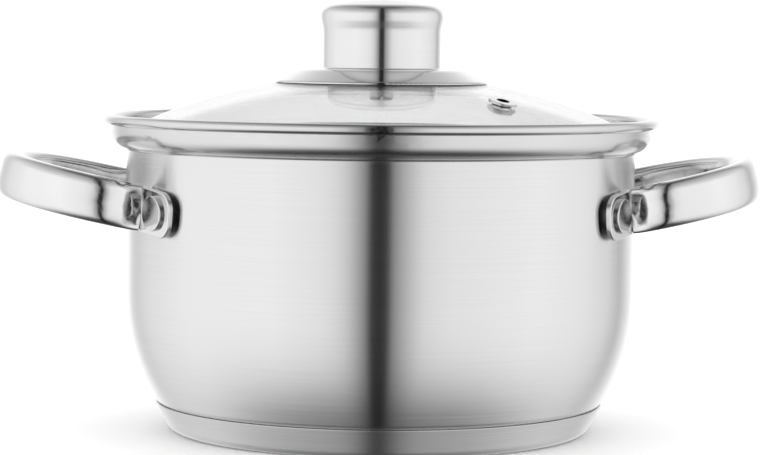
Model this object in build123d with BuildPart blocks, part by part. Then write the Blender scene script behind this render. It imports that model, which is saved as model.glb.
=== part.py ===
"""Two-handled steel casserole with a glass lid, modelled in millimetres.

The frame stands on the table: the origin is the centre of the base, +Z is up and
the two handles point along +X and -X. The lid is shown on the pot.
"""
from build123d import *
from math import acos, atan, copysign, cos, degrees, pi, radians, sin, sqrt, tan
import os

os.makedirs("parts", exist_ok=True)

# Driving dimensions of the pot
POT_RADIUS = 100.5         # outside of the straight wall
WALL = 0.8                 # thickness of the drawn steel
BELLY_RADIUS = 85.0        # large curve that rounds the wall into the floor
BELLY_TOP = 55.5           # where the wall turns straight
HEEL_RADIUS = 10.0         # small curve between belly and flat floor
HEEL_SWEEP = 60.0          # degrees turned by the small curve
COLLAR_RADIUS = 106.5      # outside of the wider collar above the shoulder
COLLAR_CURVE = 6.6         # rounding of the shoulder into the collar
COLLAR_CENTRE = 117.75     # height of the centre of that rounding
LIP_RADIUS = 2.02          # outside of the rolled pouring lip
LIP_HEIGHT = 122.4         # centre of the rolled lip
LIP_SWEEP = 295.0          # degrees that the lip is rolled through
CREASE_FILLET = 0.8        # rounding where the straight wall meets the shoulder

# Driving dimensions of the capsule base
CAPSULE_SHEET = 0.6
CAPSULE_FOOT_RADIUS = 80.0
CAPSULE_CURVE = 4.8        # rounding between foot and flared side
CAPSULE_SLOPE = 62.6       # the side leans out at this angle from the table, in degrees
CAPSULE_TOP = 11.0
CORE_TOP = 10.6

# Driving dimensions of the lid
DOME_RADIUS = 235.0        # outside sphere of the glass
DOME_APEX = 141.0
GLASS = 4.0
GLASS_EDGE = 100.4         # radius of the ground glass edge
SEAL = 0.5                 # silicone between glass and rim band
BAND = 0.5                 # sheet thickness of the rim band
BAND_INNER = 98.2          # inner edge of the band's two arms
SKIRT_BOTTOM = 107.5       # lower edge of the skirt that centres the lid
HEM_RADIUS = 1.5           # rolled hem around the outside of the band
HEM_PLACE = (101.9, 115.3)
SCREW_HOLE_RADIUS = 5.0    # hole through the middle of the glass

# Driving dimensions of the knob and its mounting
PLATE_RADIUS = 42.1        # polished saucer between glass and knob
PLATE_TOP = 142.9
PLATE_SHEET = 0.6
PLATE_FLAT = 32.6          # the flat top ends here
PLATE_SHOULDER = 138.0     # height where the cone would reach the rim
PLATE_RIM = 137.4
PLATE_BEND = 8.0           # rounding between flat top and cone
PLATE_CURL = 0.9           # rounding between cone and rim
GASKET_RADIUS = 14.0
LOWER_GASKET_RADIUS = 20.0
KNOB_WALL = 0.8
KNOB_RADIUS = 23.4
KNOB_TOP = 170.2
KNOB_FLARE = 0.4
KNOB_WAIST = 157.0         # the straight wall ends here
KNOB_BULGE_RADIUS = 24.4
KNOB_BULGE_HEIGHT = 163.6
KNOB_SHOULDER = 4.6        # rounding between bulge and crown
KNOB_FLOOR_SHEET = 1.2
NUT_ACROSS_FLATS = 8.0
NUT_HEIGHT = 6.0
SCREW_RADIUS = 2.5         # M5
SCREW_CLEARANCE = 2.75     # radius of the holes it passes through
SCREW_TIP = 1.0            # sticks out of the nut
SCREW_CHAMFER = 0.6
SCREW_HEAD_ROUND = 1.4
SLOT_WIDTH = 1.2
SLOT_DEPTH = 1.3
SCREW_HEAD_RADIUS = 4.75
SCREW_HEAD_HEIGHT = 3.0
WASHER_RADIUS = 21.0
WASHER_TOP = 134.4
WASHER_SHEET = 1.0
WASHER_ROUND = 0.3

# Driving dimensions of the steam vent
VENT_PLACE = (42.6, -52.8)
VENT_BORE = 2.5
VENT_SLEEVE = 3.7
VENT_GLASS_HOLE = 4.0
VENT_FLANGE = 5.5
VENT_SEAT = 0.1            # underside of the flange, on the curved glass
VENT_FLANGE_SHEET = 0.9
VENT_ROUND = 0.35
VENT_BOTTOM = -5.1         # end of the sleeve, below the outside of the glass
VENT_CURL = 4.6            # radius of the end rolled out under the washer
VENT_WASHER_SHEET = 0.9

# Driving dimensions of the handles
HANDLE_TILT = 11.9         # each loop rises outward by this angle, in degrees
RIVET_ANGLE = 31.0         # rivets lie this far round the wall from the X axis
RIVET_HEIGHT = 88.4
RIVET_HEAD_RADIUS = 6.75
RIVET_HEAD_HEIGHT = 1.4
RIVET_SHANK_RADIUS = 3.0
RIVET_INNER_RADIUS = 5.5
RIVET_INNER_HEIGHT = 1.5
RIVET_INNER_GAP = 0.2      # the flat inner head clears the curved wall at its edge
RIVET_ROUND = 0.5
BOSS_RADIUS = 6.3
BOSS_HEIGHT = 1.2
EAR_SHEET = 1.8
EAR_HEIGHT = 17.4
EAR_END = 11.0             # from the rivet to the free end of the ear
EAR_CREASE = 10.6          # from the rivet to the crease
EAR_CORNER = 6.5           # rounding of the free end
TUBE_HEIGHT = 17.8
TUBE_THICKNESS = 8.8
TUBE_WALL = 1.0
TUBE_ROUNDNESS = 3.0       # 2 is an ellipse, higher is squarer
EAR_ROUND = 0.6
CREASE_THICKNESS = 1.4     # the end of the tube starts inside the ear
CREASE_HEIGHT = 16.6
CREASE_OVERLAP = 0.8
CREASE_MITRE = 0.5         # the crease faces between the ear and the neck
NECK_PLACE = (98.4, 45.4)  # centre line where the end has half swelled into the tube
NECK_THICKNESS = 4.6
HANDLE_PLAN = [(106.5, 46.4), (120, 43.8), (132, 36), (141, 22.2), (145.9, 0)]
LOOP_STATIONS = 15
SECTION_POINTS = 16


def save(piece, name):
    """Label the finished piece and write it to its own file."""
    piece.part.label = name
    export_step(piece.part, f"parts/{name}.step")


def revolved(section):
    """Solid of revolution about the Z axis from a half section drawn as (radius, height)."""
    with BuildPart() as piece:
        with BuildSketch(Plane.XZ):
            add(section.sketch)
        revolve(axis=Axis.Z)
    return piece


# ---------------------------------------------------------------- pot body
def vessel_line(inset):
    """Line along the vessel's wall from the middle of the floor to the rolled lip.

    An inset of 0 is the outside of the sheet and an inset of WALL is the inside.
    """
    belly = (POT_RADIUS - BELLY_RADIUS, BELLY_TOP)
    heel_start = -90 + HEEL_SWEEP
    reach = BELLY_RADIUS - HEEL_RADIUS
    heel = (belly[0] + reach * cos(radians(heel_start)), belly[1] + reach * sin(radians(heel_start)))
    collar = (COLLAR_RADIUS - COLLAR_CURVE, COLLAR_CENTRE)
    crease_offset = POT_RADIUS + CREASE_FILLET - collar[0]
    crease_turn = degrees(acos(crease_offset / (COLLAR_CURVE + CREASE_FILLET)))
    crease_drop = (COLLAR_CURVE + CREASE_FILLET) * sin(radians(crease_turn))
    crease = (POT_RADIUS + CREASE_FILLET, COLLAR_CENTRE - crease_drop)
    lip_inside = LIP_RADIUS - WALL
    lip = (COLLAR_RADIUS + lip_inside, LIP_HEIGHT)
    wall = POT_RADIUS - inset
    collar_wall = COLLAR_RADIUS - inset
    floor = heel[1] - HEEL_RADIUS + inset
    with BuildLine() as line:
        Line((0, floor), (heel[0], floor))
        CenterArc(heel, HEEL_RADIUS - inset, -90, HEEL_SWEEP)
        CenterArc(belly, BELLY_RADIUS - inset, heel_start, -heel_start)
        Line((wall, BELLY_TOP), (wall, crease[1]))
        CenterArc(crease, CREASE_FILLET + inset, 180, -crease_turn)
        CenterArc(collar, COLLAR_CURVE - inset, -crease_turn, crease_turn)
        Line((collar_wall, COLLAR_CENTRE), (collar_wall, LIP_HEIGHT))
        CenterArc(lip, lip_inside + inset, 180, -LIP_SWEEP)
    return line


def joined(first, second):
    """Face between two open lines that run the same way."""
    with BuildSketch() as section:
        with BuildLine():
            add(first.line)
            add(second.line)
            Line(first.line @ 0, second.line @ 0)
            Line(first.line @ 1, second.line @ 1)
        make_face()
    return section


def rivet_plane(distance):
    """Plane tangent to the wall at the rivet on the +X +Y side, facing out of the pot.

    Its local x runs level along the wall, away from the crease of the ear, and its y is up.
    """
    out = Vector(cos(radians(RIVET_ANGLE)), sin(radians(RIVET_ANGLE)), 0)
    along = Vector(-out.Y, out.X, 0)
    return Plane(origin=out * distance + Vector(0, 0, RIVET_HEIGHT), x_dir=along, z_dir=out)


def rivet_cylinder(radius, low, high, mode=Mode.ADD):
    """Cylinder on the rivet's axis between two distances from the pot's axis."""
    with BuildSketch(rivet_plane(low)) as disc:
        Circle(radius)
    extrude(disc.sketch, amount=high - low, mode=mode)


def copied_to_four():
    """Repeat what is built so far at all four rivet places."""
    mirror(about=Plane.XZ)
    mirror(about=Plane.YZ)


with BuildPart() as rivet_holes:
    rivet_cylinder(RIVET_SHANK_RADIUS, POT_RADIUS - 4 * WALL, POT_RADIUS + WALL)
    copied_to_four()

pot_body = revolved(joined(vessel_line(0), vessel_line(WALL)))
with pot_body:
    add(rivet_holes.part, mode=Mode.SUBTRACT)
save(pot_body, "pot_body")

# ---------------------------------------------------------------- capsule base
CAPSULE_SIDE = Vector(cos(radians(CAPSULE_SLOPE)), sin(radians(CAPSULE_SLOPE)))


def capsule_line(inset, top):
    """Line from the middle of the capsule's foot up its flared side to a given height."""
    foot = (CAPSULE_FOOT_RADIUS, CAPSULE_CURVE)
    curve = CAPSULE_CURVE - inset
    start = Vector(foot[0] + curve * CAPSULE_SIDE.Y, foot[1] - curve * CAPSULE_SIDE.X)
    with BuildLine() as line:
        Line((0, inset), (foot[0], inset))
        CenterArc(foot, curve, -90, CAPSULE_SLOPE)
        Line(start, start + CAPSULE_SIDE * ((top - start.Y) / CAPSULE_SIDE.Y))
    return line


def filled(line, top):
    """Face between a line that starts on the axis and a level top."""
    with BuildSketch() as section:
        with BuildLine():
            add(line.line)
            Polyline(line.line @ 1, (0, top), line.line @ 0)
        make_face()
    return section


with BuildSketch() as inside_vessel:
    with BuildLine():
        floor_to_wall = add(vessel_line(0).line.edges().sort_by(Axis.Y)[:4])
        wall_top = floor_to_wall.vertices().sort_by(Axis.Y)[-1]
        Polyline(wall_top, (0, wall_top.Y), vessel_line(0).line @ 0)
    make_face()

with BuildSketch() as capsule_section:
    sheet = joined(capsule_line(0, CAPSULE_TOP), capsule_line(CAPSULE_SHEET, CAPSULE_TOP))
    add(sheet.sketch)
    with Locations(capsule_line(CAPSULE_SHEET / 2, CAPSULE_TOP).line @ 1):
        Circle(CAPSULE_SHEET / 2)
    add(inside_vessel.sketch, mode=Mode.SUBTRACT)
base_capsule = revolved(capsule_section)
save(base_capsule, "base_capsule")

with BuildSketch() as core_section:
    add(filled(capsule_line(CAPSULE_SHEET, CORE_TOP), CORE_TOP).sketch)
    add(inside_vessel.sketch, mode=Mode.SUBTRACT)
base_core = revolved(core_section)
save(base_core, "base_core")

# ---------------------------------------------------------------- handles
EAR_BACK = POT_RADIUS + BOSS_HEIGHT
EAR_FRONT = EAR_BACK + EAR_SHEET
TILT = radians(HANDLE_TILT)
EAR_DIP = degrees(atan(tan(TILT) * sin(radians(RIVET_ANGLE))))


def superellipse(thickness, height):
    """Points of the tube's rounded outline: thickness along x and height along y."""
    points = []
    for step in range(SECTION_POINTS):
        angle = 2 * pi * step / SECTION_POINTS
        across = copysign(abs(cos(angle)) ** (2 / TUBE_ROUNDNESS), cos(angle))
        up = copysign(abs(sin(angle)) ** (2 / TUBE_ROUNDNESS), sin(angle))
        points.append((thickness / 2 * across, height / 2 * up))
    return points


def tube_section(place, along, thickness, height):
    """Cross section of a handle at a place on its centre line."""
    upright = Vector(-sin(TILT), 0, cos(TILT))
    with BuildSketch(Plane(origin=place, x_dir=upright.cross(along), z_dir=along)) as section:
        with BuildLine():
            Spline(*superellipse(thickness, height), periodic=True)
        make_face()
    return section.sketch


def handle_plane():
    """Plane of the handle loops' centre line: its x is level with the table's X at the rivet."""
    inner = EAR_BACK * cos(radians(RIVET_ANGLE))
    return Plane(origin=(0, 0, RIVET_HEIGHT - inner * tan(TILT)),
                 x_dir=(cos(TILT), 0, sin(TILT)), z_dir=(-sin(TILT), 0, cos(TILT)))


def on_handle(x, y):
    """Point of the handle's plane above a place on the table."""
    return handle_plane().from_local_coords(Vector(x / cos(TILT), y))


half_loop = [on_handle(x, y) for x, y in HANDLE_PLAN]
other_half = [Vector(p.X, -p.Y, p.Z) for p in reversed(half_loop[:-1])]
with BuildLine() as loop:
    Spline(*half_loop, *other_half)

crease_place = rivet_plane(EAR_BACK + EAR_SHEET / 2).from_local_coords(
    Vector(CREASE_OVERLAP - EAR_CREASE, (EAR_CREASE - CREASE_OVERLAP) * tan(radians(EAR_DIP))))
neck_place = on_handle(*NECK_PLACE)
ear_inward = Vector(sin(radians(RIVET_ANGLE)), -cos(radians(RIVET_ANGLE)), 0)


def loop_section(step, shrink=0):
    """Section of the tube at a station of the loop, smaller by shrink for the hollow."""
    u = step / (LOOP_STATIONS - 1)
    return tube_section(loop.line @ u, loop.line % u, TUBE_THICKNESS - shrink, TUBE_HEIGHT - shrink)


def end_stations():
    """Stations of the crease and the neck: place, direction, thickness and height."""
    to_neck = (neck_place - crease_place).normalized()
    to_loop = (loop.line @ 0 - neck_place).normalized()
    mitre = (ear_inward * CREASE_MITRE + to_neck).normalized()
    return [(crease_place, mitre, CREASE_THICKNESS, CREASE_HEIGHT),
            (neck_place, to_loop, NECK_THICKNESS, TUBE_HEIGHT)]


def mirrored(vector):
    """The same vector on the other side of the handle's middle."""
    return Vector(vector.X, -vector.Y, vector.Z)


def handle_sections():
    """Sections of the tube from one crease, round the loop, to the other crease."""
    near = [tube_section(*station) for station in end_stations()]
    far = [tube_section(mirrored(place), mirrored(along) * -1, thickness, height)
           for place, along, thickness, height in reversed(end_stations())]
    return near + [loop_section(step) for step in range(LOOP_STATIONS)] + far


with BuildPart() as ears:
    with BuildSketch(rivet_plane(EAR_BACK)) as ear_outline:
        with Locations(Location((0, 0), -EAR_DIP)):
            with Locations(((EAR_END - EAR_CREASE) / 2, 0)):
                Rectangle(EAR_END + EAR_CREASE, EAR_HEIGHT)
        fillet(ear_outline.vertices().sort_by(Axis.X)[-2:], EAR_CORNER)
    extrude(amount=EAR_SHEET)
    fillet(ears.faces().sort_by(Axis(Vector(0, 0, 0), rivet_plane(0).z_dir))[-1].edges(), EAR_ROUND)
    rivet_cylinder(RIVET_SHANK_RADIUS, EAR_BACK, EAR_FRONT, mode=Mode.SUBTRACT)
    mirror(about=Plane.XZ)

with BuildPart() as handle_right:
    loft(handle_sections())
    add(ears.part)
with BuildPart() as handle_hollow:
    loft([loop_section(step, 2 * TUBE_WALL) for step in range(1, LOOP_STATIONS - 1)])
with handle_right:
    add(handle_hollow.part, mode=Mode.SUBTRACT)
save(handle_right, "handle_right")

with BuildPart() as handle_left:
    add(mirror(handle_right.part, about=Plane.YZ))
save(handle_left, "handle_left")

with BuildPart() as handle_bosses:
    rivet_cylinder(BOSS_RADIUS, POT_RADIUS - BOSS_HEIGHT, EAR_BACK)
    Cylinder(POT_RADIUS, 2 * LIP_HEIGHT, mode=Mode.SUBTRACT)
    rivet_cylinder(RIVET_SHANK_RADIUS, POT_RADIUS - BOSS_HEIGHT, EAR_BACK, mode=Mode.SUBTRACT)
    copied_to_four()
save(handle_bosses, "handle_bosses")

with BuildPart() as handle_rivets:
    inner_face = POT_RADIUS - WALL - RIVET_INNER_GAP
    rivet_cylinder(RIVET_HEAD_RADIUS, EAR_FRONT, EAR_FRONT + RIVET_HEAD_HEIGHT)
    fillet(handle_rivets.edges().sort_by(Axis(Vector(0, 0, 0), rivet_plane(0).z_dir))[-1], RIVET_ROUND)
    rivet_cylinder(RIVET_SHANK_RADIUS, inner_face, EAR_FRONT)
    rivet_cylinder(RIVET_INNER_RADIUS, inner_face - RIVET_INNER_HEIGHT, inner_face)
    fillet(handle_rivets.edges().sort_by(Axis(Vector(0, 0, 0), rivet_plane(0).z_dir))[0], RIVET_ROUND)
    copied_to_four()
save(handle_rivets, "handle_rivets")


# ---------------------------------------------------------------- glass lid
def dome_height(sphere_radius, radius):
    """Height of a sphere about the dome's centre at a distance from the lid's axis."""
    return DOME_APEX - DOME_RADIUS + sqrt(sphere_radius**2 - radius**2)


def dome_shell(inner_sphere, outer_sphere, inner_radius, outer_radius):
    """Half section between two spheres about the dome's centre."""
    middle = (inner_radius + outer_radius) / 2
    corners = []
    with BuildSketch() as section:
        with BuildLine():
            for sphere in (inner_sphere, outer_sphere):
                ends = [(r, dome_height(sphere, r)) for r in (inner_radius, outer_radius)]
                ThreePointArc(ends[0], (middle, dome_height(sphere, middle)), ends[1])
                corners.append(ends)
            Line(corners[0][0], corners[1][0])
            Line(corners[0][1], corners[1][1])
        make_face()
    return section


DOME_INSIDE = DOME_RADIUS - GLASS
VENT_REACH = sqrt(VENT_PLACE[0]**2 + VENT_PLACE[1]**2)
dome_centre = Vector(0, 0, DOME_APEX - DOME_RADIUS)
vent_surface = Vector(*VENT_PLACE, dome_height(DOME_RADIUS, VENT_REACH))
vent_out = (vent_surface - dome_centre).normalized()


def vent_plane(height):
    """Plane across the vent's axis, at a height above the outside of the glass."""
    return Plane(origin=vent_surface + vent_out * height, x_dir=(1, 0, 0), z_dir=vent_out)


def vent_cylinder(radius, low, high, mode=Mode.ADD):
    """Cylinder on the vent's axis between two heights above the outside of the glass."""
    with BuildSketch(vent_plane(low)) as disc:
        Circle(radius)
    extrude(disc.sketch, amount=high - low, mode=mode)


lid_glass = revolved(dome_shell(DOME_INSIDE, DOME_RADIUS, SCREW_HOLE_RADIUS, GLASS_EDGE))
with lid_glass:
    vent_cylinder(VENT_GLASS_HOLE, -2 * GLASS, GLASS, mode=Mode.SUBTRACT)
save(lid_glass, "lid_glass")

SEAL_INNER = BAND_INNER + SEAL
SEAL_OUTER = GLASS_EDGE + SEAL
BAND_OUTER = SEAL_OUTER + BAND
with BuildSketch() as seal_section:
    add(dome_shell(DOME_INSIDE - SEAL, DOME_RADIUS + SEAL, SEAL_INNER, SEAL_OUTER).sketch)
    add(dome_shell(DOME_INSIDE, DOME_RADIUS, BAND_INNER, GLASS_EDGE).sketch, mode=Mode.SUBTRACT)
rim_seal = revolved(seal_section)
save(rim_seal, "rim_seal")

BAND_INSIDE_SPHERE = DOME_INSIDE - SEAL
BAND_OUTSIDE_SPHERE = DOME_RADIUS + SEAL
with BuildSketch() as band_section:
    arms = dome_shell(BAND_INSIDE_SPHERE - BAND, BAND_OUTSIDE_SPHERE + BAND, BAND_INNER, BAND_OUTER)
    add(arms.sketch)
    with Locations(HEM_PLACE):
        Circle(HEM_RADIUS)
    skirt_top = dome_height(BAND_INSIDE_SPHERE, BAND_INNER)
    with Locations((BAND_INNER, SKIRT_BOTTOM)):
        Rectangle(BAND, skirt_top - SKIRT_BOTTOM - BAND / 2, align=(Align.MIN, Align.MIN))
    channel = dome_shell(BAND_INSIDE_SPHERE, BAND_OUTSIDE_SPHERE, BAND_INNER - BAND, SEAL_OUTER)
    add(channel.sketch, mode=Mode.SUBTRACT)
lid_rim = revolved(band_section)
save(lid_rim, "lid_rim")

# ---------------------------------------------------------------- steam vent
with BuildPart() as vent_eyelet:
    vent_cylinder(VENT_SLEEVE, VENT_BOTTOM, VENT_SEAT)
    vent_cylinder(VENT_FLANGE, VENT_SEAT, VENT_SEAT + VENT_FLANGE_SHEET)
    rim = vent_eyelet.faces().sort_by(Axis(vent_surface, vent_out))[-1].edges()
    fillet(rim, VENT_ROUND)
    vent_cylinder(VENT_CURL, VENT_BOTTOM - VENT_FLANGE_SHEET, VENT_BOTTOM)
    vent_cylinder(VENT_BORE, VENT_BOTTOM - GLASS, GLASS, mode=Mode.SUBTRACT)
save(vent_eyelet, "vent_eyelet")

with BuildPart() as vent_washer:
    vent_cylinder(VENT_FLANGE, VENT_BOTTOM, VENT_BOTTOM + VENT_WASHER_SHEET)
    vent_cylinder(VENT_SLEEVE, VENT_BOTTOM, VENT_BOTTOM + VENT_WASHER_SHEET, mode=Mode.SUBTRACT)
save(vent_washer, "vent_washer")


# ---------------------------------------------------------------- knob and its mounting
def ring(outer_radius, inner_radius, low, high):
    """Half section of a flat ring about the lid's axis."""
    with BuildSketch() as section:
        with Locations((inner_radius, low)):
            Rectangle(outer_radius - inner_radius, high - low, align=(Align.MIN, Align.MIN))
    return section


with BuildSketch() as plate_section:
    with BuildLine():
        FilletPolyline((SCREW_CLEARANCE, PLATE_TOP), (PLATE_FLAT, PLATE_TOP),
                       (PLATE_RADIUS, PLATE_SHOULDER), (PLATE_RADIUS, PLATE_RIM),
                       radius=[PLATE_BEND, PLATE_CURL])
        offset(amount=PLATE_SHEET, side=Side.RIGHT)
    make_face()
knob_plate = revolved(plate_section)
save(knob_plate, "knob_plate")

with BuildSketch() as upper_gasket_section:
    add(ring(GASKET_RADIUS, SCREW_HOLE_RADIUS, WASHER_TOP, PLATE_TOP - PLATE_SHEET).sketch)
    below = dome_shell(DOME_INSIDE - 2 * GLASS, DOME_RADIUS, SCREW_CLEARANCE, WASHER_RADIUS)
    add(below.sketch, mode=Mode.SUBTRACT)
upper_gasket = revolved(upper_gasket_section)
save(upper_gasket, "upper_gasket")

with BuildSketch() as lower_gasket_section:
    add(ring(LOWER_GASKET_RADIUS, SCREW_CLEARANCE, WASHER_TOP, DOME_APEX).sketch)
    above = dome_shell(DOME_INSIDE, DOME_RADIUS + GLASS, SCREW_HOLE_RADIUS, WASHER_RADIUS)
    add(above.sketch, mode=Mode.SUBTRACT)
lower_gasket = revolved(lower_gasket_section)
save(lower_gasket, "lower_gasket")

WASHER_BOTTOM = WASHER_TOP - WASHER_SHEET
lower_washer = revolved(ring(WASHER_RADIUS, SCREW_CLEARANCE, WASHER_BOTTOM, WASHER_TOP))
with lower_washer:
    fillet(lower_washer.edges().filter_by(GeomType.CIRCLE).sort_by(SortBy.RADIUS)[-2:], WASHER_ROUND)
save(lower_washer, "lower_washer")


def knob_line(inset):
    """Line along the knob's wall from its foot to the middle of its crown."""
    shoulder = (KNOB_BULGE_RADIUS - KNOB_SHOULDER, KNOB_BULGE_HEIGHT)
    rise = KNOB_TOP - KNOB_BULGE_HEIGHT
    crown_radius = (shoulder[0]**2 + rise**2 - KNOB_SHOULDER**2) / (2 * (rise - KNOB_SHOULDER))
    crown = (0, KNOB_TOP - crown_radius)
    turn = degrees(acos(shoulder[0] / (crown_radius - KNOB_SHOULDER)))
    wall = KNOB_RADIUS - inset
    with BuildLine() as line:
        Line((wall, PLATE_TOP), (wall, KNOB_WAIST))
        Spline((wall, KNOB_WAIST), (KNOB_BULGE_RADIUS - inset, KNOB_BULGE_HEIGHT),
               tangents=[(0, 1), (0, 1)])
        CenterArc(shoulder, KNOB_SHOULDER - inset, 0, turn)
        CenterArc(crown, crown_radius - inset, turn, 90 - turn)
    return line


with BuildSketch() as knob_section:
    add(joined(knob_line(0), knob_line(KNOB_WALL)).sketch)
    with BuildLine():
        Polyline((KNOB_RADIUS, PLATE_TOP), (KNOB_RADIUS + KNOB_FLARE, PLATE_TOP),
                 (KNOB_RADIUS, PLATE_TOP + KNOB_FLARE), close=True)
    make_face()
knob_cap = revolved(knob_section)
save(knob_cap, "knob_cap")

KNOB_FLOOR_TOP = PLATE_TOP + KNOB_FLOOR_SHEET
KNOB_INSIDE = KNOB_RADIUS - KNOB_WALL
knob_floor = revolved(ring(KNOB_INSIDE, SCREW_CLEARANCE, PLATE_TOP, KNOB_FLOOR_TOP))
save(knob_floor, "knob_floor")

with BuildPart() as knob_nut:
    with BuildSketch(Plane.XY.offset(KNOB_FLOOR_TOP)):
        RegularPolygon(NUT_ACROSS_FLATS / 2, 6, major_radius=False)
        Circle(SCREW_RADIUS, mode=Mode.SUBTRACT)
    extrude(amount=NUT_HEIGHT)
save(knob_nut, "knob_nut")

with BuildPart() as knob_screw:
    with BuildSketch(Plane.XY.offset(WASHER_BOTTOM)):
        Circle(SCREW_RADIUS)
    extrude(amount=KNOB_FLOOR_TOP + NUT_HEIGHT + SCREW_TIP - WASHER_BOTTOM)
    chamfer(knob_screw.edges().sort_by(Axis.Z)[-1], SCREW_CHAMFER)
    with BuildSketch(Plane.XY.offset(WASHER_BOTTOM - SCREW_HEAD_HEIGHT)):
        Circle(SCREW_HEAD_RADIUS)
    extrude(amount=SCREW_HEAD_HEIGHT)
    fillet(knob_screw.edges().sort_by(Axis.Z)[0], SCREW_HEAD_ROUND)
    with BuildSketch(Plane.XY.offset(WASHER_BOTTOM - SCREW_HEAD_HEIGHT)):
        Rectangle(SLOT_WIDTH, 2 * SCREW_HEAD_RADIUS + SLOT_WIDTH)
    extrude(amount=SLOT_DEPTH, mode=Mode.SUBTRACT)
save(knob_screw, "knob_screw")
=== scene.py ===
"""Studio scene of the two-handled casserole: materials, floor, light and camera."""
import math

import bpy
from mathutils import Matrix, Vector

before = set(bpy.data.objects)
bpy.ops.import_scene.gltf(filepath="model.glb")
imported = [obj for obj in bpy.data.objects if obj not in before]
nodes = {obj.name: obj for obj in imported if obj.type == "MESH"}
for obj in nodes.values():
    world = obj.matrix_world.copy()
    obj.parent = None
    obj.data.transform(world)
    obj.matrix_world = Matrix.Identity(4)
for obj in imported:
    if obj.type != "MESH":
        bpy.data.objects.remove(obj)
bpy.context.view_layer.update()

scene = bpy.context.scene


# ---------------------------------------------------------------- node helpers
NOISE_LOW = 0.3           # most of a noise texture's values lie between these two
NOISE_HIGH = 0.7


def node_tree(name):
    """New material with only an output and a Principled shader."""
    material = bpy.data.materials.new(name)
    material.use_nodes = True
    tree = material.node_tree
    tree.nodes.clear()
    output = tree.nodes.new("ShaderNodeOutputMaterial")
    shader = tree.nodes.new("ShaderNodeBsdfPrincipled")
    tree.links.new(shader.outputs["BSDF"], output.inputs["Surface"])
    return material, tree, shader


def stretched_noise(tree, stretch):
    """Noise over the object's own coordinates, each axis scaled by stretch, in cycles a metre."""
    place = tree.nodes.new("ShaderNodeTexCoord")
    mapping = tree.nodes.new("ShaderNodeMapping")
    mapping.inputs["Scale"].default_value = stretch
    noise = tree.nodes.new("ShaderNodeTexNoise")
    noise.inputs["Scale"].default_value = 1.0
    noise.inputs["Detail"].default_value = 2.0
    tree.links.new(place.outputs["Object"], mapping.inputs["Vector"])
    tree.links.new(mapping.outputs["Vector"], noise.inputs["Vector"])
    return noise.outputs["Fac"]


def ranged(tree, value, low, high):
    """Noise spread over the range from low to high."""
    spread = tree.nodes.new("ShaderNodeMapRange")
    spread.inputs["From Min"].default_value = NOISE_LOW
    spread.inputs["From Max"].default_value = NOISE_HIGH
    spread.inputs["To Min"].default_value = low
    spread.inputs["To Max"].default_value = high
    tree.links.new(value, spread.inputs["Value"])
    return spread.outputs["Result"]


def tinted(tree, shader, value, dark, light):
    """Base colour of the shader, from dark to light with the noise."""
    ramp = tree.nodes.new("ShaderNodeValToRGB")
    ramp.color_ramp.elements[0].position = NOISE_LOW
    ramp.color_ramp.elements[1].position = NOISE_HIGH
    ramp.color_ramp.elements[0].color = (*dark, 1)
    ramp.color_ramp.elements[1].color = (*light, 1)
    tree.links.new(value, ramp.inputs["Fac"])
    tree.links.new(ramp.outputs["Color"], shader.inputs["Base Color"])


def bumped(tree, shader, value, height):
    """Fine relief of the given height, in metres."""
    bump = tree.nodes.new("ShaderNodeBump")
    bump.inputs["Strength"].default_value = 1.0
    bump.inputs["Distance"].default_value = height
    tree.links.new(value, bump.inputs["Height"])
    tree.links.new(bump.outputs["Normal"], shader.inputs["Normal"])


def computed(tree, kind, *values):
    """Result of a maths node whose inputs are numbers or sockets."""
    node = tree.nodes.new("ShaderNodeMath")
    node.operation = kind
    for socket, value in zip(node.inputs, values):
        if isinstance(value, bpy.types.NodeSocket):
            tree.links.new(value, socket)
        else:
            socket.default_value = value
    return node.outputs[0]


def levelled(tree, value, levels):
    """Level read from a list of (place, level) in rising order of place."""
    low = levels[0][0]
    high = levels[-1][0]
    spread = tree.nodes.new("ShaderNodeMapRange")
    spread.inputs["From Min"].default_value = low
    spread.inputs["From Max"].default_value = high
    tree.links.new(value, spread.inputs["Value"])
    ramp = tree.nodes.new("ShaderNodeValToRGB")
    steps = ramp.color_ramp.elements
    while len(steps) < len(levels):
        steps.new(0.5)
    for step, (where, level) in zip(steps, levels):
        step.position = (where - low) / (high - low)
        step.color = (level, level, level, 1)
    tree.links.new(spread.outputs["Result"], ramp.inputs["Fac"])
    return ramp.outputs["Color"]


# ---------------------------------------------------------------- materials
ROUND_GRAIN = 14          # cycles a metre along a brush stroke
FINE_GRAIN = 4000         # cycles a metre across the brush strokes
STROKE_DEPTH = 3e-7       # metres
STROKE_ROUGHNESS = 0.015  # roughness that the strokes add or take away
POLISH_WAVES = 60         # cycles a metre of the tone of polished steel
POLISH_GRAIN = 900        # cycles a metre of its roughness
POLISH_TONE = 0.01        # grey that the waves add or take away


def brushed_steel(name, dark, light, roughness, anisotropy):
    """Steel brushed round the Z axis: long level strokes that blur highlights up and down."""
    material, tree, shader = node_tree(name)
    strokes = stretched_noise(tree, (ROUND_GRAIN, ROUND_GRAIN, FINE_GRAIN))
    tinted(tree, shader, strokes, (dark,) * 3, (light,) * 3)
    rough = ranged(tree, strokes, roughness - STROKE_ROUGHNESS, roughness + STROKE_ROUGHNESS)
    tree.links.new(rough, shader.inputs["Roughness"])
    shader.inputs["Metallic"].default_value = 1.0
    shader.inputs["Anisotropic"].default_value = anisotropy
    shader.inputs["Anisotropic Rotation"].default_value = 0.25
    tangent = tree.nodes.new("ShaderNodeTangent")
    tangent.direction_type = "RADIAL"
    tangent.axis = "Z"
    tree.links.new(tangent.outputs["Tangent"], shader.inputs["Tangent"])
    bumped(tree, shader, strokes, STROKE_DEPTH)
    return material


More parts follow.
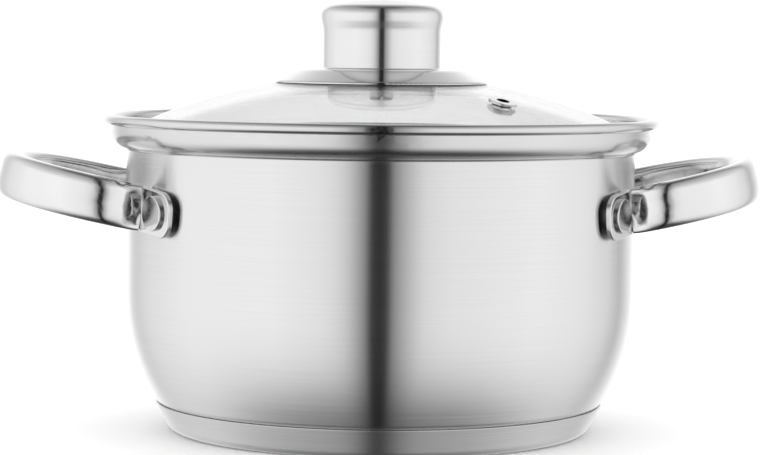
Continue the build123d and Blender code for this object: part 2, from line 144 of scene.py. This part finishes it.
def polished_steel(name, grey, roughness):
    """Mirror-polished steel with the faint waviness of hand polishing."""
    material, tree, shader = node_tree(name)
    waves = stretched_noise(tree, (POLISH_WAVES,) * 3)
    tinted(tree, shader, waves, (grey - POLISH_TONE,) * 3, (grey + POLISH_TONE,) * 3)
    grain = stretched_noise(tree, (POLISH_GRAIN,) * 3)
    tree.links.new(ranged(tree, grain, roughness * 0.6, roughness * 1.4), shader.inputs["Roughness"])
    shader.inputs["Metallic"].default_value = 1.0
    return material


def rolled_aluminium():
    """Rolled aluminium of the disc in the base."""
    material, tree, shader = node_tree("core_aluminium")
    grain = stretched_noise(tree, (400, 400, 400))
    tinted(tree, shader, grain, (0.62,) * 3, (0.70,) * 3)
    tree.links.new(ranged(tree, grain, 0.35, 0.5), shader.inputs["Roughness"])
    shader.inputs["Metallic"].default_value = 1.0
    return material


def clear_glass():
    """Tempered soda-lime glass, nearly colourless."""
    material, tree, shader = node_tree("clear_glass")
    film = stretched_noise(tree, (25, 25, 25))
    tinted(tree, shader, film, (0.975, 0.98, 0.978), (0.985, 0.99, 0.988))
    tree.links.new(ranged(tree, film, 0.0, 0.012), shader.inputs["Roughness"])
    shader.inputs["Transmission Weight"].default_value = 1.0
    shader.inputs["IOR"].default_value = 1.5
    return material


def silicone():
    """Milky translucent silicone."""
    material, tree, shader = node_tree("silicone")
    cloud = stretched_noise(tree, (300, 300, 300))
    tinted(tree, shader, cloud, (0.70, 0.71, 0.71), (0.80, 0.81, 0.81))
    tree.links.new(ranged(tree, cloud, 0.35, 0.5), shader.inputs["Roughness"])
    shader.inputs["Transmission Weight"].default_value = 0.4
    return material


body_steel = brushed_steel("brushed_body", 0.71, 0.75, 0.22, 1.0)
# Collar and lip: the satin and polished finishes are real, but the base grey is set darker than the body's
# as painted shade for the dark reflections and crease round the rim; the lip's grey matches the collar's
# so the seam between them doesn't show.
collar_steel_painted_shade = brushed_steel("satin_collar_painted_shade", 0.64, 0.67, 0.2, 0.5)
lip_steel_painted_shade = polished_steel("polished_lip_painted_shade", 0.65, 0.10)
base_steel = brushed_steel("brushed_base", 0.66, 0.73, 0.34, 0.97)
knob_steel = brushed_steel("satin_knob", 0.72, 0.75, 0.16, 0.9)
handle_steel = polished_steel("polished_handles", 0.74, 0.12)
trim_steel = polished_steel("polished_trim", 0.72, 0.06)
fastener_steel = polished_steel("fasteners", 0.70, 0.12)
gasket_silicone = silicone()

FINISHES = {
    "pot_body": body_steel,
    "base_capsule": base_steel,
    "base_core": rolled_aluminium(),
    "handle_left": handle_steel,
    "handle_right": handle_steel,
    "handle_bosses": fastener_steel,
    "handle_rivets": fastener_steel,
    "lid_glass": clear_glass(),
    "rim_seal": gasket_silicone,
    "lid_rim": trim_steel,
    "vent_eyelet": trim_steel,
    "vent_washer": trim_steel,
    "knob_plate": trim_steel,
    "upper_gasket": gasket_silicone,
    "lower_gasket": gasket_silicone,
    "lower_washer": trim_steel,
    "knob_cap": knob_steel,
    "knob_floor": trim_steel,
    "knob_nut": fastener_steel,
    "knob_screw": fastener_steel,
}
COLLAR_SHADE_BOTTOM = 0.1105    # metres; the shoulder and collar are satin above this height, with a base grey darker than the body's as painted shade
LIP_BOTTOM = 0.1206       # metres; the rolled lip is polished above this one, its grey lowered to the collar's painted shade


def finish_nodes():
    """Give every CAD node its material."""
    for name, finish in FINISHES.items():
        mesh = nodes[name].data
        mesh.materials.clear()
        mesh.materials.append(finish)


def finish_and_shade_rim():
    """Satin collar and polished lip on the upper part of the pot. Both get a base grey darker than the
    body's, painted shade for the dark reflections round the rim.
    """
    mesh = nodes["pot_body"].data
    mesh.materials.append(collar_steel_painted_shade)
    mesh.materials.append(lip_steel_painted_shade)
    # Faces above the collar's bottom get the collar's and lip's darker greys, which are painted shade.
    for face in mesh.polygons:
        height = face.center.z
        face.material_index = int(height > COLLAR_SHADE_BOTTOM) + int(height > LIP_BOTTOM)


finish_nodes()
finish_and_shade_rim()

# ---------------------------------------------------------------- floor and world
FLOOR_HALF = 40.0         # metres
FLOOR_DROP = 0.0003       # metres; the floor lies this far under the base
CAMERA_AZIMUTH = math.radians(3.6)
BACKDROP_LEVEL = 1.03     # what the camera sees behind the pot
FLOOR_LIGHT = 1.6         # what lights the floor, so that the pot's soft shadow stays faint
TENT_LEVEL = 1.2          # the brightest cloth of the tent, as the steel sees it
# Brightness of the tent's walls: (degrees to the right of the camera, share of the brightest).
# The camera looks in through a dark slot, and the seam at the back of each side wall is darker.
WALL_LEVELS = [(-180, 1.0), (-157, 0.94), (-149, 0.7), (-142, 0.66), (-128, 0.82), (-98, 0.97),
               (-50, 1.0), (-28, 0.92), (-21, 0.85), (-16, 0.74), (-12.5, 0.6), (-9.3, 0.42), (-6, 0.28),
               (-4.5, 0.02), (4.1, 0.02), (5.2, 0.26), (8.4, 0.38), (11, 0.5), (20, 0.82), (32, 0.91),
               (75, 0.98), (104, 0.9), (124, 0.76), (138, 0.5), (146, 0.68), (159, 0.9), (180, 1.0)]
# Brightness by height: (sine of the angle above the table, share). The tent is darker at its top
# and fades out below the pot.
HEIGHT_LEVELS = [(-1.0, 0.05), (-0.9, 0.09), (-0.82, 0.22), (-0.77, 0.38), (-0.72, 0.56), (-0.66, 0.72),
                 (-0.55, 0.88), (-0.42, 0.97), (-0.25, 1.0), (0.35, 1.0), (0.6, 0.7), (0.78, 0.5),
                 (0.9, 0.4), (0.95, 0.2), (1.0, 0.12)]


def floor():
    """Pale floor just under the base. It lights the pot but isn't seen in its polish."""
    mesh = bpy.data.meshes.new("floor")
    signs = ((-1, -1), (1, -1), (1, 1), (-1, 1))
    mesh.from_pydata([(x * FLOOR_HALF, y * FLOOR_HALF, -FLOOR_DROP) for x, y in signs], [], [(0, 1, 2, 3)])
    sheet = bpy.data.objects.new("floor", mesh)
    scene.collection.objects.link(sheet)
    material, tree, shader = node_tree("floor_paper")
    paper = stretched_noise(tree, (200, 200, 200))
    tinted(tree, shader, paper, (0.945,) * 3, (0.955,) * 3)
    shader.inputs["Roughness"].default_value = 0.8
    mesh.materials.append(material)
    sheet.visible_glossy = False


def studio():
    """Round white tent as a world: walls by direction and height, and a white backdrop for the camera."""
    world = bpy.data.worlds.new("studio")
    scene.world = world
    world.use_nodes = True
    tree = world.node_tree
    tree.nodes.clear()
    output = tree.nodes.new("ShaderNodeOutputWorld")
    background = tree.nodes.new("ShaderNodeBackground")
    background.inputs["Color"].default_value = (1, 1, 1, 1)
    tree.links.new(background.outputs["Background"], output.inputs["Surface"])
    place = tree.nodes.new("ShaderNodeTexCoord")
    split = tree.nodes.new("ShaderNodeSeparateXYZ")
    tree.links.new(place.outputs["Generated"], split.inputs["Vector"])

    to_front = computed(tree, "MULTIPLY", split.outputs["Y"], -1)
    bearing = computed(tree, "ARCTAN2", split.outputs["X"], to_front)
    aside = computed(tree, "ADD", bearing, CAMERA_AZIMUTH)
    walls = levelled(tree, computed(tree, "MULTIPLY", aside, math.degrees(1)), WALL_LEVELS)
    heights = levelled(tree, split.outputs["Z"], HEIGHT_LEVELS)
    cloth = computed(tree, "MULTIPLY", walls, heights)
    tent = computed(tree, "MULTIPLY", cloth, TENT_LEVEL)

    path = tree.nodes.new("ShaderNodeLightPath")
    not_through = computed(tree, "SUBTRACT", 1, path.outputs["Is Transmission Ray"])
    mirrored = computed(tree, "MULTIPLY", path.outputs["Is Glossy Ray"], not_through)
    tent_over_backdrop = computed(tree, "SUBTRACT", tent, BACKDROP_LEVEL)
    in_steel = computed(tree, "MULTIPLY", mirrored, tent_over_backdrop)
    on_floor = computed(tree, "MULTIPLY", path.outputs["Is Diffuse Ray"], FLOOR_LIGHT - BACKDROP_LEVEL)
    extra = computed(tree, "ADD", in_steel, on_floor)
    tree.links.new(computed(tree, "ADD", BACKDROP_LEVEL, extra), background.inputs["Strength"])


floor()
studio()

# ---------------------------------------------------------------- camera
CAMERA_DISTANCE = 1.0817  # metres from the pot's axis
CAMERA_HEIGHT = 0.156     # metres above the table
CAMERA_PITCH = math.radians(4.024)
CAMERA_ROLL = math.radians(0.6)
CAMERA_LENS = 129.2       # millimetres, for the sensor below
CAMERA_SENSOR = 36


def camera():
    """Long lens a little above the rim, turned slightly to the left of the pot's front."""
    data = bpy.data.cameras.new("camera")
    data.sensor_width = CAMERA_SENSOR
    data.lens = CAMERA_LENS
    data.clip_start = 0.05
    eye = bpy.data.objects.new("camera", data)
    scene.collection.objects.link(eye)
    out = Vector((-math.sin(CAMERA_AZIMUTH), -math.cos(CAMERA_AZIMUTH), 0))
    eye.location = out * CAMERA_DISTANCE + Vector((0, 0, CAMERA_HEIGHT))
    level = Matrix.Rotation(-CAMERA_AZIMUTH, 4, "Z") @ Matrix.Rotation(math.pi / 2 - CAMERA_PITCH, 4, "X")
    eye.rotation_euler = (level @ Matrix.Rotation(CAMERA_ROLL, 4, "Z")).to_euler()
    scene.camera = eye


camera()
scene.view_settings.view_transform = "Standard"
